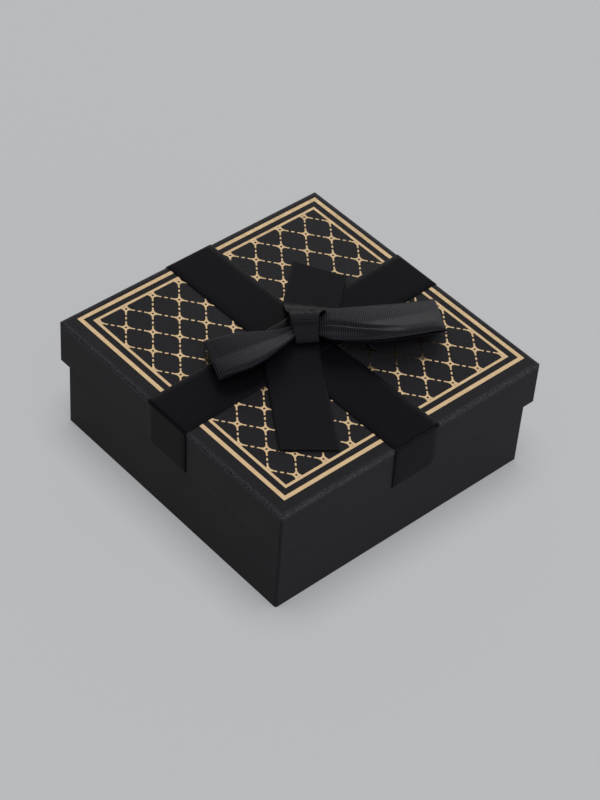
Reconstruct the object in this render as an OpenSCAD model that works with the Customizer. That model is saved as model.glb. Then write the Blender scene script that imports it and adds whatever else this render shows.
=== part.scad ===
// Square gift box with a lift-off lid, ribbon bands and a made-up ribbon bow.
// Millimetres, +Z up, origin at the centre of the underside.
// Greyboard trays are wrapped in thin paper, and the bow is glued where the bands cross.

/* [Box] */
// Outside width of the lid, which is square
lid_side = 150; // [110:1:240]
// Height of the closed box, from the table to the lid's top
box_height = 60; // [50:0.5:120]
// Height of the lid's skirt, with the panel
skirt_height = 22.5; // [18:0.5:45]
// How far the lid stands out past the base on each side
overhang = 2.7; // [2.6:0.1:5]
// Rounding of the lid's upper edges
edge_radius = 1.2; // [0.6:0.1:2.5]
// Rounding of the upright corners
corner_radius = 1.2; // [0.6:0.1:2.5]

/* [Board and paper] */
// Thickness of the greyboard
board_t = 1.5; // [1:0.1:1.7]
// Thickness of the outer wrapping paper
wrap_t = 0.2; // [0.15:0.01:0.25]
// Thickness of the lining paper
liner_t = 0.15; // [0.1:0.01:0.2]
// Thickness of the paper tape over the board's corners
stay_t = 0.1; // [0.05:0.01:0.12]
// Width of each leg of the corner tape
stay_leg = 12; // [6:0.5:20]
// Depth of the wrapping paper turned in at the open edges
hem_depth = 12; // [8:0.5:16]
// Width of the wrapping paper turned under the base
flange_width = 15; // [8:0.5:25]
// Inset of the bottom sheet from the base's sides
sheet_inset = 1.5; // [1:0.1:6]
// How far the base's lining stops below the rim
liner_drop = 4; // [2:0.5:7]
// Gap from the lid's lining sheet to the skirt's board
liner_gap = 0.3; // [0.1:0.1:0.8]

/* [Foil print] */
// Thickness of the foil
foil_t = 0.05; // [0.03:0.01:0.1]
// Distance from the lid's side to the outer line
margin = 5.25; // [4:0.25:12]
// Width of the outer line
outer_line = 2; // [1:0.1:4]
// Bare space between the two lines
line_space = 3; // [1:0.05:5]
// Width of the inner line
inner_line = 1.35; // [1:0.05:4]
// How far the print is off centre along X
print_x = -1.7; // [-2.5:0.1:2.5]
// How far the print is off centre along Y
print_y = 2; // [-2.5:0.1:2.5]
// Half the width of a lattice cell
cell_x = 9.5; // [7:0.1:14]
// Half the height of a lattice cell
cell_y = 7.5; // [6:0.1:12]
// Width of the dashes and of a star's arms
stroke = 0.75; // [0.4:0.05:1.2]
// Reach of a star's arms, as a share of the way to the next star
arm_reach = 0.32; // [0.25:0.01:0.36]
// Length of a dash, as a share of the way to the next star
dash_share = 0.14; // [0.08:0.01:0.2]
// Radius of a star between its arms
star_waist = 1.4; // [1:0.05:1.8]

/* [Ribbon bands] */
// Width of the ribbon
ribbon_w = 25.5; // [15:0.5:30]
// Thickness of the ribbon
ribbon_t = 0.4; // [0.25:0.01:0.45]
// Slant of the band that runs along X, in degrees
slant_x = 1; // [-3:0.1:3]
// Slant of the band that runs along Y, in degrees
slant_y = 1.9; // [-3:0.1:3]
// Y of the first band's middle
band_x_offset = -0.7; // [-6:0.1:6]
// X of the second band's middle
band_y_offset = -2; // [-6:0.1:6]
// Length of ribbon turned up inside the skirt
tab_length = 11.5; // [6:0.5:12]
// Thickness of the glue behind each ribbon end
end_glue_t = 0.1; // [0.05:0.01:0.1]
// Length over which the upper band climbs onto the lower one
climb = 3; // [1:0.5:6]
// Gap between the ribbon and the lid's rounded edge
ribbon_gap = 0.03; // [0.02:0.01:0.1]

/* [Bow] */
// Height of the knot's middle above the lid
knot_height = 6.8; // [6.4:0.1:8]
// Heading of the knot's sleeve, in degrees from +X
knot_heading = 58; // [50:1:66]
// Width of the knot's sleeve along its heading
knot_width = 11.5; // [9:0.5:14]
// Half the knot's breadth across its heading
knot_breadth = 8.2; // [8:0.1:10]
// Half the knot's thickness
knot_depth = 3.6; // [3.2:0.1:4]
// Thickness of the ribbon wound round the knot, in two turns
knot_wall = 0.8; // [0.5:0.05:0.9]
// Reach of the left loop
left_reach = 42.8; // [32:0.1:55]
// Heading of the left loop where it leaves the knot
left_heading = -95.6; // [-105:0.1:-88]
// Reach of the right loop
right_reach = 61.7; // [45:0.1:68]
// Heading of the right loop where it leaves the knot
right_heading = 48.5; // [42:0.1:54]
// Length of the front tail
front_length = 66; // [45:0.5:70]
// Heading of the front tail
front_heading = -34; // [-40:0.5:-28]
// Length of the back tail, counted from the knot's middle
back_length = 48; // [35:0.5:52]
// Heading of the back tail where it leaves the knot
back_heading = 120.5; // [115:0.5:126]

/* [Hidden] */
$fn = 48;
eps = 0.01;

// Half widths and levels of the lid
lid_half = lid_side / 2;
lid_top = box_height;
lid_rim = lid_top - skirt_height;
lid_board_half = lid_half - wrap_t;
lid_board_in = lid_board_half - board_t;
lid_hem_in = lid_board_in - wrap_t;
panel_under = lid_top - wrap_t - board_t;
lid_seat = panel_under - liner_t;

// Half widths and levels of the base
base_half = lid_half - overhang;
base_board_half = base_half - wrap_t;
base_board_in = base_board_half - board_t;
base_hem_in = base_board_in - wrap_t;
flange_z = wrap_t;
floor_under = 2 * wrap_t;
floor_top = floor_under + board_t;
base_rim = lid_seat;
hem_low = base_rim - hem_depth;

// Foil and lattice
foil_z = lid_top + foil_t;
outer_half = lid_half - margin;
inner_half = outer_half - outer_line - line_space;
field_half = inner_half - inner_line;
link = norm([cell_x, cell_y]);
link_angle = atan2(cell_y, cell_x);
// Stars stand on every second crossing, as far as the inner line's middle
star_cols = floor((inner_half / cell_x) + 0.5);
star_rows = floor((inner_half / cell_y) + 0.5);

// Ribbon levels
band_mid = foil_z + ribbon_t / 2;
upper_mid = band_mid + ribbon_t;
crossing_top = upper_mid + ribbon_t / 2;
hand = ribbon_t / 2;
pad_w = 0.6 * ribbon_w;
pad_h = 0.6 * tab_length;

// Bow: where the knot sits, and how the strands leave it
knot_at = [-0.8, 3];
knot_z = lid_top + knot_height;
knot_mouth = knot_width / 2;
bite = 1.5;
pinch = knot_mouth + 8;
root_gap = 0.7;
loop_crown = 0.5;
loop_rows = 24;
loop_cols = 6;
oval_points = 32;

// Each loop: turn of its heading towards the tip, skew of its width, where its fair line starts,
// levels above the lid at the knot and the tip, rise of one strand, share of full width at the knot,
// share of the reach where it is full, and roll at the knot and the tip
left_root = 6;
left_bend = -9.7;
left_skew = -18;
left_start = [0, 0.1];
left_levels = [7.5, 4.4];
left_rise = 1.9;
left_gather = 0.35;
left_full_at = 0.75;
left_roll = [10.5, 2];
right_root = 9.6;
right_bend = 13.8;
right_skew = 9.7;
right_start = [-0.8, 3.5];
right_levels = [8.1, 4.1];
right_rise = 2.5;
right_gather = 0.77;
right_full_at = 0.56;
right_roll = [-2, -8.3];

// Tails: the front one comes out under the knot and the back one from behind it.
// Trim is how far the cut end is past the length at each selvedge.
tail_rows = 14;
tail_cols = 5;
front_start = [-2, -4.5];
front_bend = 1.5;
front_gather = 1;
front_full_at = 25;
front_trim = [-1.4, 1.5];
front_fall = 14;
front_low = lid_top + 0.7;
front_high = knot_z - knot_depth - hand - 0.05;
back_start = [-2.5, -0.6];
back_bend = 10.7;
back_gather = 0.7;
back_full_at = 20;
back_trim = [-2.4, 3.1];
back_fall = 8;
back_first = knot_breadth + 1.6;
back_low = lid_top + 1.2;
back_high = lid_top + 3.9;

// Glue under the bow
glue_at = [-0.5, 0];
glue_r = 5;
glue_top = front_high - hand - 0.3;

function mix(a, b, t) = a + (b - a) * t;
function clip(x) = min(1, max(0, x));
function ease(x) = let (c = clip(x)) c * c * (3 - 2 * c);
function unit(v) = v / norm(v);
function flat(list) = [for (row = list) for (item = row) item];

// ---- helpers for the board and paper pieces ----

// Square with rounded corners
module rounded_square(half, r) {
    square([2 * (half - r), 2 * half], center = true);
    square([2 * half, 2 * (half - r)], center = true);
    for (sx = [-1, 1], sy = [-1, 1])
        translate([sx * (half - r), sy * (half - r)])
            circle(r);
}

module slab(half, z0, z1, r = corner_radius) {
    translate([0, 0, z0])
        linear_extrude(z1 - z0)
            rounded_square(half, r);
}

// Side view of a block whose upper edges are rounded
module arched_side(half, z0, z1, r) {
    translate([-half, z0])
        square([2 * half, z1 - z0 - r]);
    translate([-half + r, z0])
        square([2 * (half - r), z1 - z0]);
    for (s = [-1, 1])
        translate([s * (half - r), z1 - r])
            circle(r);
}

// Block with rounded upright corners and rounded upper edges
module soft_block(half, z0, z1, r_up, r_edge) {
    intersection() {
        slab(half, z0, z1, r_up);
        rotate([90, 0, 0])
            linear_extrude(2 * half + 2, center = true)
                arched_side(half, z0, z1, r_edge);
        rotate([90, 0, 90])
            linear_extrude(2 * half + 2, center = true)
                arched_side(half, z0, z1, r_edge);
    }
}

module block(half, z0, z1) {
    translate([-half, -half, z0])
        cube([2 * half, 2 * half, z1 - z0]);
}

module ring(outer, inner, z0, z1) {
    difference() {
        block(outer, z0, z1);
        block(inner, z0 - 1, z1 + 1);
    }
}

module corner_columns(half, leg, z0, z1) {
    for (sx = [-1, 1], sy = [-1, 1])
        translate([sx * half - (sx > 0 ? leg : 0), sy * half - (sy > 0 ? leg : 0), z0])
            cube([leg, leg, z1 - z0]);
}

// ---- helpers for the ribbon pieces ----

// Unit normal of a grid of points at row i and column j
function grid_normal(g, i, j) =
    let (
        rows = len(g) - 1,
        cols = len(g[0]) - 1,
        along = g[min(rows, i + 1)][j] - g[max(0, i - 1)][j],
        across = g[i][min(cols, j + 1)] - g[i][max(0, j - 1)]
    ) unit(cross(along, across));

// Ribbon of thickness t whose middle surface is the grid g
module ribbon_sheet(g, t) {
    rows = len(g);
    cols = len(g[0]);
    count = rows * cols;
    shift = [for (i = [0:rows - 1]) [for (j = [0:cols - 1]) grid_normal(g, i, j) * t / 2]];
    upper = [for (i = [0:rows - 1]) [for (j = [0:cols - 1]) g[i][j] + shift[i][j]]];
    lower = [for (i = [0:rows - 1]) [for (j = [0:cols - 1]) g[i][j] - shift[i][j]]];
    skin = [
        for (i = [0:rows - 2], j = [0:cols - 2])
            let (a = i * cols + j, b = a + 1, c = a + cols, d = c + 1)
                each [[a, b, d], [a, d, c], [count + a, count + d, count + b], [count + a, count + c, count + d]]
    ];
    selvedges = [
        for (i = [0:rows - 2], side = [0, 1])
            let (a = i * cols + side * (cols - 1), c = a + cols)
                each side == 0
                    ? [[a, c, count + c], [a, count + c, count + a]]
                    : [[a, count + c, c], [a, count + a, count + c]]
    ];
    ends = [
        for (j = [0:cols - 2], side = [0, 1])
            let (a = side * (rows - 1) * cols + j, b = a + 1)
                each side == 0
                    ? [[a, count + b, b], [a, count + a, count + b]]
                    : [[a, b, count + b], [a, count + b, count + a]]
    ];
    polyhedron(concat(flat(upper), flat(lower)), concat(skin, selvedges, ends));
}

// Points of an arc from angle a0 to a1 with semi-axes ru and rv
function arc(centre, ru, rv, a0, a1, steps) =
    [for (k = [0:steps]) let (a = mix(a0, a1, k / steps)) centre + [ru * cos(a), rv * sin(a)]];

// Half of a band's side view, from the lid's middle out, over the edge and up inside the skirt
edge_steps = 5;
turn_steps = 3;
turn_r = hand + 0.05;
tab_u = lid_hem_in - end_glue_t - hand;
function edge_path() = concat(
    arc([lid_half - edge_radius, lid_top - edge_radius], edge_radius + ribbon_gap + hand,
        edge_radius + foil_t + hand, 90, 0, edge_steps),
    arc([lid_half, lid_rim], ribbon_gap + hand, turn_r, 0, -90, turn_steps),
    arc([lid_hem_in, lid_rim], lid_hem_in - tab_u, turn_r, -90, -180, turn_steps),
    [[tab_u, lid_rim + tab_length]]
);

// Whole side view of a band; over is how high it rises where it crosses the other band
function band_path(over) =
    let (
        half = ribbon_w / 2 + climb,
        rise = over > 0
            ? [[half, band_mid], [half - climb * 0.7, band_mid + over], [0, band_mid + over]]
            : [[0, band_mid]],
        right = concat([for (k = [len(rise) - 1:-1:0]) rise[k]], edge_path()),
        left = [for (k = [len(right) - 1:-1:1]) [-right[k][0], right[k][1]]]
    ) concat(left, right);

// Length along a path up to each of its points, measured from the middle
function run(path, k, middle) =
    k == middle ? 0
    : k > middle ? run(path, k - 1, middle) + norm(path[k] - path[k - 1])
    : run(path, k + 1, middle) - norm(path[k] - path[k + 1]);

// Grid of a band: the path, slanted sideways by the same share all the way
function band_grid(path, slant, offset) =
    let (middle = (len(path) - 1) / 2)
        [for (k = [0:len(path) - 1])
            let (v = offset + tan(slant) * run(path, k, middle))
                [for (side = [-1, 1]) [path[k][0], v + side * ribbon_w / 2, path[k][1]]]];

// ---- base ----

module base_bottom_sheet() {
    color("#1c1c1f")
        slab(base_half - sheet_inset, 0, flange_z);
}

module base_board() {
    color("#8c8478")
        difference() {
            slab(base_board_half, floor_under, base_rim - wrap_t);
            block(base_board_in, floor_top, base_rim + 1);
        }
}

module base_corner_stays() {
    color("#c9bfa8")
        intersection() {
            difference() {
                slab(base_board_half + stay_t, floor_under, base_rim - wrap_t);
                slab(base_board_half, floor_under - 1, base_rim + 1);
            }
            corner_columns(base_half, stay_leg, 0, base_rim);
        }
}

module base_wrap() {
    color("#26262a")
        difference() {
            union() {
                difference() {
                    slab(base_half, flange_z, base_rim);
                    slab(base_board_half, floor_under, base_rim - wrap_t);
                    block(base_hem_in, base_rim - 2 * wrap_t, base_rim + 1);
                    block(base_half - flange_width, flange_z - 1, floor_under + eps);
                }
                ring(base_board_in, base_hem_in, hem_low, base_rim - wrap_t);
            }
            base_corner_stays();
        }
}

module base_liner() {
    step_z = hem_low - liner_t;
    color("#1b1b1d")
        union() {
            difference() {
                block(base_board_in, floor_top, hem_low);
                block(base_board_in - liner_t, floor_top + liner_t, step_z);
                block(base_hem_in - liner_t, step_z - eps, hem_low + 1);
            }
            ring(base_hem_in, base_hem_in - liner_t, step_z, base_rim - liner_drop);
        }
}

// ---- lid ----

module lid_core() {
    soft_block(lid_board_half, lid_rim + wrap_t, lid_top - wrap_t, corner_radius, edge_radius - wrap_t);
}

module lid_board() {
    color("#8c8478")
        difference() {
            lid_core();
            block(lid_board_in, lid_rim, panel_under);
        }
}

module lid_corner_stays() {
    color("#c9bfa8")
        intersection() {
            difference() {
                slab(lid_board_half + stay_t, lid_rim + wrap_t, lid_top - edge_radius);
                slab(lid_board_half, lid_rim, lid_top);
            }
            corner_columns(lid_half, stay_leg, lid_rim, lid_top);
        }
}

module lid_wrap() {
    color("#2a2a2e")
        difference() {
            union() {
                difference() {
                    soft_block(lid_half, lid_rim, lid_top, corner_radius, edge_radius);
                    lid_core();
                    block(lid_hem_in, lid_rim - 1, lid_rim + 2 * wrap_t);
                }
                ring(lid_board_in, lid_hem_in, lid_rim + wrap_t, lid_rim + hem_depth);
            }
            lid_corner_stays();
        }
}

module lid_liner() {
    color("#1b1b1d")
        block(lid_board_in - liner_gap, lid_seat, panel_under);
}

// ---- foil print ----

module printed() {
    translate([print_x, print_y, lid_top])
        linear_extrude(foil_t)
            children();
}

module foil_frame(outer, width) {
    printed()
        difference() {
            square(2 * outer, center = true);
            square(2 * (outer - width), center = true);
        }
}

module foil_border_outer() {
    color("#d9b06a")
        foil_frame(outer_half, outer_line);
}

module foil_border_inner() {
    color("#d9b06a")
        foil_frame(inner_half, inner_line);
}

// Four arms lie along the links to the next stars, and the outline dips to the waist between them
module star() {
    reach = link * arm_reach;
    angles = [link_angle, 180 - link_angle, 180 + link_angle, 360 - link_angle];
    outline = [
        for (k = [0:3])
            let (
                a = angles[k],
                next = k < 3 ? angles[k + 1] : angles[0] + 360,
                along = [cos(a), sin(a)],
                side = [-sin(a), cos(a)],
                dip = (a + next) / 2
            )
                each [
                    along * reach - side * stroke / 2,
                    along * reach + side * stroke / 2,
                    star_waist * [cos(dip), sin(dip)]
                ]
    ];
    polygon(outline);
}

module dash() {
    square([link * dash_share, stroke], center = true);
}

module foil_lattice() {
    color("#d9b06a")
        printed()
            intersection() {
                square(2 * field_half, center = true);
                for (i = [-star_cols:star_cols - 1], j = [-star_rows:star_rows - 1])
                    if ((i + j) % 2 == 0)
                        translate([(i + 0.5) * cell_x, (j + 0.5) * cell_y]) {
                            star();
                            for (s = [-1, 1])
                                translate([cell_x / 2, s * cell_y / 2])
                                    rotate(s * link_angle)
                                        dash();
                        }
            }
}

// ---- ribbon bands ----

module ribbon_band_x() {
    color("#17171a")
        ribbon_sheet(band_grid(band_path(0), slant_x, band_x_offset), ribbon_t);
}

module ribbon_band_y() {
    color("#17171a")
        rotate(90)
            ribbon_sheet(band_grid(band_path(ribbon_t), slant_y, -band_y_offset), ribbon_t);
}

// Sideways place of a band halfway up its tab; end is 1 at the path's last point and -1 at its first
function tab_place(path, slant, offset, end) =
    let (
        middle = (len(path) - 1) / 2,
        last = run(path, len(path) - 1, middle) - tab_length / 2
    ) offset + end * tan(slant) * last;

module end_pad(v) {
    translate([lid_hem_in - end_glue_t, v - pad_w / 2, lid_rim + (tab_length - pad_h) / 2])
        cube([end_glue_t, pad_w, pad_h]);
}

module ribbon_end_glue() {
    lower = band_path(0);
    upper = band_path(ribbon_t);
    color("#e6e2d6")
        for (end = [1, -1]) {
            rotate(end > 0 ? 0 : 180)
                end_pad(end * tab_place(lower, slant_x, band_x_offset, end));
            rotate(end > 0 ? 90 : 270)
                end_pad(end * tab_place(upper, slant_y, -band_y_offset, end));
        }
}

// ---- bow ----

// Grid of a loop: out along the top strand, round the tip and back along the lower one.
// Inside the knot it is root wide and runs level, and it is free of the knot's hold from pinch outwards.
function loop_grid(reach, heading, bend, skew, from, levels, rise, gather, full_at, roll, root) =
    let (turn0 = acos(1 - 2 * bite / reach))
        [for (k = [0:loop_rows])
            let (
                turn = mix(turn0, 360 - turn0, k / loop_rows),
                out = (1 - cos(turn)) / 2,
                u = reach * out,
                free = ease((u - knot_mouth) / (pinch - knot_mouth)),
                way = heading + bend * out,
                side = heading + skew * out + 90,
                tilt = mix(roll[0], roll[1], out) * free,
                level = mix(knot_height, mix(levels[0], levels[1], out), free),
                lift = rise * free * sin(turn) * sin(turn / 2) + root_gap * cos(turn / 2),
                start = mix(knot_at, from, free),
                half_w = mix(root, ribbon_w * mix(gather, 1, ease(out / full_at)), free) / 2,
                across = [cos(side) * cos(tilt), sin(side) * cos(tilt), sin(tilt)],
                middle = [start[0] + u * cos(way), start[1] + u * sin(way), lid_top + level + lift]
            )
                [for (j = [0:loop_cols])
                    let (s = 2 * j / loop_cols - 1)
                        middle + s * half_w * across + [0, 0, loop_crown * free * (1 - s * s) * sin(turn / 2)]]];

// Grid of a tail: from the knot down to the lid, where it lies nearly flat
function tail_grid(first, length, heading, bend, start, gather, full_at, trim, high, low, fall) =
    [for (k = [0:tail_rows])
        let (
            out = k / tail_rows,
            way = heading + bend * out / 2,
            side = heading + bend * out + 90,
            half_w = ribbon_w / 2 * mix(gather, 1, ease(length * out / full_at))
        )
            [for (j = [0:tail_cols])
                let (
                    s = 2 * j / tail_cols - 1,
                    u = mix(first, length + mix(trim[0], trim[1], (s + 1) / 2), out),
                    z = low + (high - low) * exp(-pow((u - first) / fall, 2))
                )
                    [start[0] + u * cos(way) + s * half_w * cos(side),
                        start[1] + u * sin(way) + s * half_w * sin(side), z]]];

// Outline of the knot's sleeve, looking along its heading
function oval(a, b) = [for (k = [0:oval_points - 1]) [a * cos(360 * k / oval_points), b * sin(360 * k / oval_points)]];

module bow_loop_left() {
    grid = loop_grid(
        left_reach, left_heading, left_bend, left_skew, left_start, left_levels,
        left_rise, left_gather, left_full_at, left_roll, left_root
    );
    color("#2b2a30")
        ribbon_sheet(grid, ribbon_t);
}

module bow_loop_right() {
    grid = loop_grid(
        right_reach, right_heading, right_bend, right_skew, right_start, right_levels,
        right_rise, right_gather, right_full_at, right_roll, right_root
    );
    color("#2b2a30")
        ribbon_sheet(grid, ribbon_t);
}

module bow_knot() {
    color("#2b2a30")
        translate([knot_at[0], knot_at[1], knot_z])
            rotate([90, 0, knot_heading + 90])
                linear_extrude(knot_width, center = true)
                    difference() {
                        polygon(oval(knot_breadth, knot_depth));
                        polygon(oval(knot_breadth - knot_wall, knot_depth - knot_wall));
                    }
}

module bow_tail_front() {
    grid = tail_grid(
        0, front_length, front_heading, front_bend, front_start,
        front_gather, front_full_at, front_trim, front_high, front_low, front_fall
    );
    color("#2b2a30")
        ribbon_sheet(grid, ribbon_t);
}

module bow_tail_back() {
    grid = tail_grid(
        back_first, back_length, back_heading, back_bend, back_start,
        back_gather, back_full_at, back_trim, back_high, back_low, back_fall
    );
    color("#2b2a30")
        ribbon_sheet(grid, ribbon_t);
}

module bow_glue() {
    color("#e6e2d6")
        translate([glue_at[0], glue_at[1], crossing_top])
            cylinder(h = glue_top - crossing_top, r = glue_r);
}

base_bottom_sheet();
base_board();
base_corner_stays();
base_wrap();
base_liner();
lid_board();
lid_corner_stays();
lid_wrap();
lid_liner();
foil_border_outer();
foil_border_inner();
foil_lattice();
ribbon_band_x();
ribbon_band_y();
ribbon_end_glue();
bow_loop_left();
bow_loop_right();
bow_knot();
bow_tail_front();
bow_tail_back();
bow_glue();
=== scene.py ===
"""Black gift box with a gold lattice, ribbon bands and a flat bow."""

import math

import bmesh
import bpy
import numpy as np
from mathutils import Matrix, Vector


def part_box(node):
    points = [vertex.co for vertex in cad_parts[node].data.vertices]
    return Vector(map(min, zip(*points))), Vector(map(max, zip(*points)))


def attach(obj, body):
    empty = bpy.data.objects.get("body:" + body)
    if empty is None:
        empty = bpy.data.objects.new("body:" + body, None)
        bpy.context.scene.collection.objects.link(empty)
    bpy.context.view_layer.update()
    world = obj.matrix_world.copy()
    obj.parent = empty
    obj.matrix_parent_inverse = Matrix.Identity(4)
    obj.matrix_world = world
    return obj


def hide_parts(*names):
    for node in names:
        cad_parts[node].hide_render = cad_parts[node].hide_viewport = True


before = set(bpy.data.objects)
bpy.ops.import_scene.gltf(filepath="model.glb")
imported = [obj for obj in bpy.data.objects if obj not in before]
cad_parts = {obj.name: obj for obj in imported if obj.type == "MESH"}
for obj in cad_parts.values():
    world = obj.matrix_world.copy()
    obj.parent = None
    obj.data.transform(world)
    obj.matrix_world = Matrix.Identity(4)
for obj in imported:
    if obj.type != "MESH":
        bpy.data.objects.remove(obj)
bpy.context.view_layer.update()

MM = 0.001

# ---- sizes taken from the frame ----

LID_LOW, LID_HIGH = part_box("lid_wrap")
LID_HALF = LID_HIGH.x
LID_TOP = LID_HIGH.z
LID_RIM = LID_LOW.z
FOIL_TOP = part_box("foil_border_outer")[1].z
PRINT_LOW, PRINT_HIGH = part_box("foil_border_inner")
PRINT_CENTRE = (PRINT_LOW + PRINT_HIGH) / 2
LATTICE_LOW, LATTICE_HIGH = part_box("foil_lattice")

# ---- sizes of the dressing ----

RIBBON_WIDTH = 25.5 * MM
RIBBON_THICKNESS = 0.4 * MM
RIB_PITCH = 1.0 * MM
RIB_ROUNDNESS = 0.6
PULLED_RIBS = 0.03 * MM
LAID_RIBS = 0.035 * MM
LOOSE_RIBS = 0.17 * MM
RIB_STEPS = 6
PATH_SAMPLES = 1200
FEWEST_ROWS = 8
WARP_PITCH = 0.28 * MM
SELVEDGE = 0.955
SELVEDGE_GAP = 0.005
CELL = (9.5 * MM, 7.5 * MM)
STROKE = 0.75 * MM
STAR_WAIST = 1.35 * MM
STAR_HOLE = 0.55 * MM
ARM_REACH = 0.32
ARM_CURVE_STEPS = 5
ARM_TIP = 1.06
DASH_SHARE = 0.15

KNOT_AT = Vector((-0.8, 3.0, 0)) * MM
KNOT_HEIGHT = 6.8 * MM
KNOT_HEADING = 58
KNOT_WIDTH = 11.5 * MM
KNOT_BREADTH = 8.2 * MM
KNOT_DEPTH = 3.6 * MM
KNOT_LEAN = 0.15
NOSE_UNDERCUT = 0.6
NOSE_NARROWING = 0.16
KNOT_FLATTENING = 0.18


# ---- small helpers ----


def mix(a, b, t):
    return a + (b - a) * t


def ease(x):
    """Rises smoothly from 0 to 1 as x does, and stays level outside."""
    c = np.clip(x, 0, 1)
    return c * c * (3 - 2 * c)


def ramp(x, start, run):
    """Rises smoothly from 0 at the start to 1 where the run ends."""
    return ease((x - start) / run)


def bump_at(x, centre, width):
    return np.exp(-(((x - centre) / width) ** 2))


def tinted(colour, share):
    return tuple(share * c for c in colour)


def link_object(name, data):
    made = bpy.data.objects.new(name, data)
    bpy.context.scene.collection.objects.link(made)
    return made


class Graph:
    """A node tree, with short calls that add nodes to it."""

    def __init__(self, tree):
        self.tree = tree

    def node(self, kind, **settings):
        made = self.tree.nodes.new(kind)
        for key, value in settings.items():
            setattr(made, key, value)
        return made

    def feed(self, socket, value):
        """Links an output to the socket, or gives the socket a plain value."""
        if hasattr(value, "is_output"):
            self.tree.links.new(value, socket)
        else:
            socket.default_value = value

    def math(self, operation, *values):
        made = self.node("ShaderNodeMath", operation=operation)
        for index, value in enumerate(values):
            self.feed(made.inputs[index], value)
        return made.outputs[0]

    def apart(self, vector):
        """The outputs X, Y and Z of a vector."""
        made = self.node("ShaderNodeSeparateXYZ")
        self.feed(made.inputs["Vector"], vector)
        return made.outputs


# ---- materials ----


class Shader(Graph):
    """A node material round one principled shader."""

    def __init__(self, name, colour, roughness, metallic=0.0, specular=0.5):
        self.material = bpy.data.materials.new(name)
        self.material.use_nodes = True
        super().__init__(self.material.node_tree)
        self.principled = self.tree.nodes["Principled BSDF"]
        self.set("Base Color", (*colour, 1))
        self.set("Roughness", roughness)
        self.set("Metallic", metallic)
        self.set("Specular IOR Level", specular)

    def set(self, socket, value):
        self.feed(self.principled.inputs[socket], value)

    def place(self, scale=(1, 1, 1)):
        """Object coordinates, scaled."""
        mapping = self.node("ShaderNodeMapping")
        self.feed(mapping.inputs["Scale"], scale)
        self.feed(mapping.inputs["Vector"], self.node("ShaderNodeTexCoord").outputs["Object"])
        return mapping.outputs["Vector"]

    def noise(self, per_metre, detail=2.0, roughness=0.5, stretch=(1, 1, 1)):
        made = self.node("ShaderNodeTexNoise")
        self.feed(made.inputs["Vector"], self.place(stretch))
        self.feed(made.inputs["Scale"], per_metre)
        self.feed(made.inputs["Detail"], detail)
        self.feed(made.inputs["Roughness"], roughness)
        return made.outputs["Fac"]

    def remap(self, value, low, high, to_low, to_high):
        made = self.node("ShaderNodeMapRange")
        ends = {"Value": value, "From Min": low, "From Max": high, "To Min": to_low, "To Max": to_high}
        for socket, end in ends.items():
            self.feed(made.inputs[socket], end)
        return made.outputs["Result"]

    def blend(self, factor, low, high):
        """From one colour to another, each of them an output or a plain colour."""
        made = self.node("ShaderNodeMix", data_type="RGBA")
        self.feed(made.inputs["Factor"], factor)
        sockets = {socket.name: socket for socket in made.inputs if socket.type == "RGBA"}
        for end, colour in (("A", low), ("B", high)):
            self.feed(sockets[end], (*colour, 1) if isinstance(colour, tuple) else colour)
        return [socket for socket in made.outputs if socket.type == "RGBA"][0]

    def relief(self, height, distance, strength=1.0):
        made = self.node("ShaderNodeBump")
        self.feed(made.inputs["Distance"], distance)
        self.feed(made.inputs["Strength"], strength)
        self.feed(made.inputs["Height"], height)
        self.set("Normal", made.outputs["Normal"])


# Features of each kind along a metre.
PAPER_CLOUDS = 45
PAPER_FIBRES = 2600
PAPER_GRAIN = 900
BOARD_FIBRES = 700
FOIL_WEAR = 260
THREAD_FUZZ = 1500
GLUE_LUMPS = 300

EMBOSS_PITCH = 0.8 * MM
# A diagonal wave texture runs through 10 units of phase for each unit of x + y + z.
EMBOSS_WAVE = {
    "Scale": 2 * math.pi / (10 * math.sqrt(2) * EMBOSS_PITCH),
    "Distortion": 0.6,
    "Detail": 1.0,
    "Detail Scale": 0.5,
}
FIBRE_SHARE = 0.35

# Paper colour painted on the lid's rounded rim in dots: painted glints, where the pressed pattern would
# catch the light.
GLINT_COLOUR = (0.052, 0.05, 0.058)
GLINT_INWARDS = 2.4 * MM
GLINT_DOWN = 2.6 * MM
GLINT_FULL = 0.9 * MM
DOT_PITCH = 0.62 * MM
DOT_RIM = 0.6
DOT_HEART = 0.15
DOT_GROUND = 0.1

CREST_SHARPNESS = 2.5
WARP_SHARE = 0.5
WEFT_SHARE = 0.6


def emboss_height(shader):
    """Fine crossed diagonal lines, pressed into the paper, on every face of the box."""
    heights = []
    for signs in ((1, 1, 1), (1, -1, 1), (1, 1, -1)):
        wave = shader.node("ShaderNodeTexWave", wave_type="BANDS", bands_direction="DIAGONAL")
        for socket, value in EMBOSS_WAVE.items():
            shader.feed(wave.inputs[socket], value)
        shader.feed(wave.inputs["Vector"], shader.place(signs))
        heights.append(wave.outputs["Fac"])
    first = shader.math("MINIMUM", heights[0], heights[1])
    crossed = shader.math("MINIMUM", first, heights[2])
    fibres = shader.noise(PAPER_FIBRES)
    return shader.math("ADD", crossed, shader.math("MULTIPLY", fibres, FIBRE_SHARE))


def rim_share(shader):
    """Where the painted glints go: 1 along the lid's rounded upper edge, fading out on the faces beside
    it, else 0.
    """
    parts = shader.apart(shader.place())
    x, y = (shader.math("ABSOLUTE", parts[axis]) for axis in "XY")
    side = shader.math("MAXIMUM", x, y)
    outer = shader.remap(side, LID_HALF - GLINT_INWARDS, LID_HALF - GLINT_FULL, 0.0, 1.0)
    upper = shader.remap(parts["Z"], LID_TOP - GLINT_DOWN, LID_TOP - GLINT_FULL, 0.0, 1.0)
    return shader.math("MULTIPLY", outer, upper)


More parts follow.
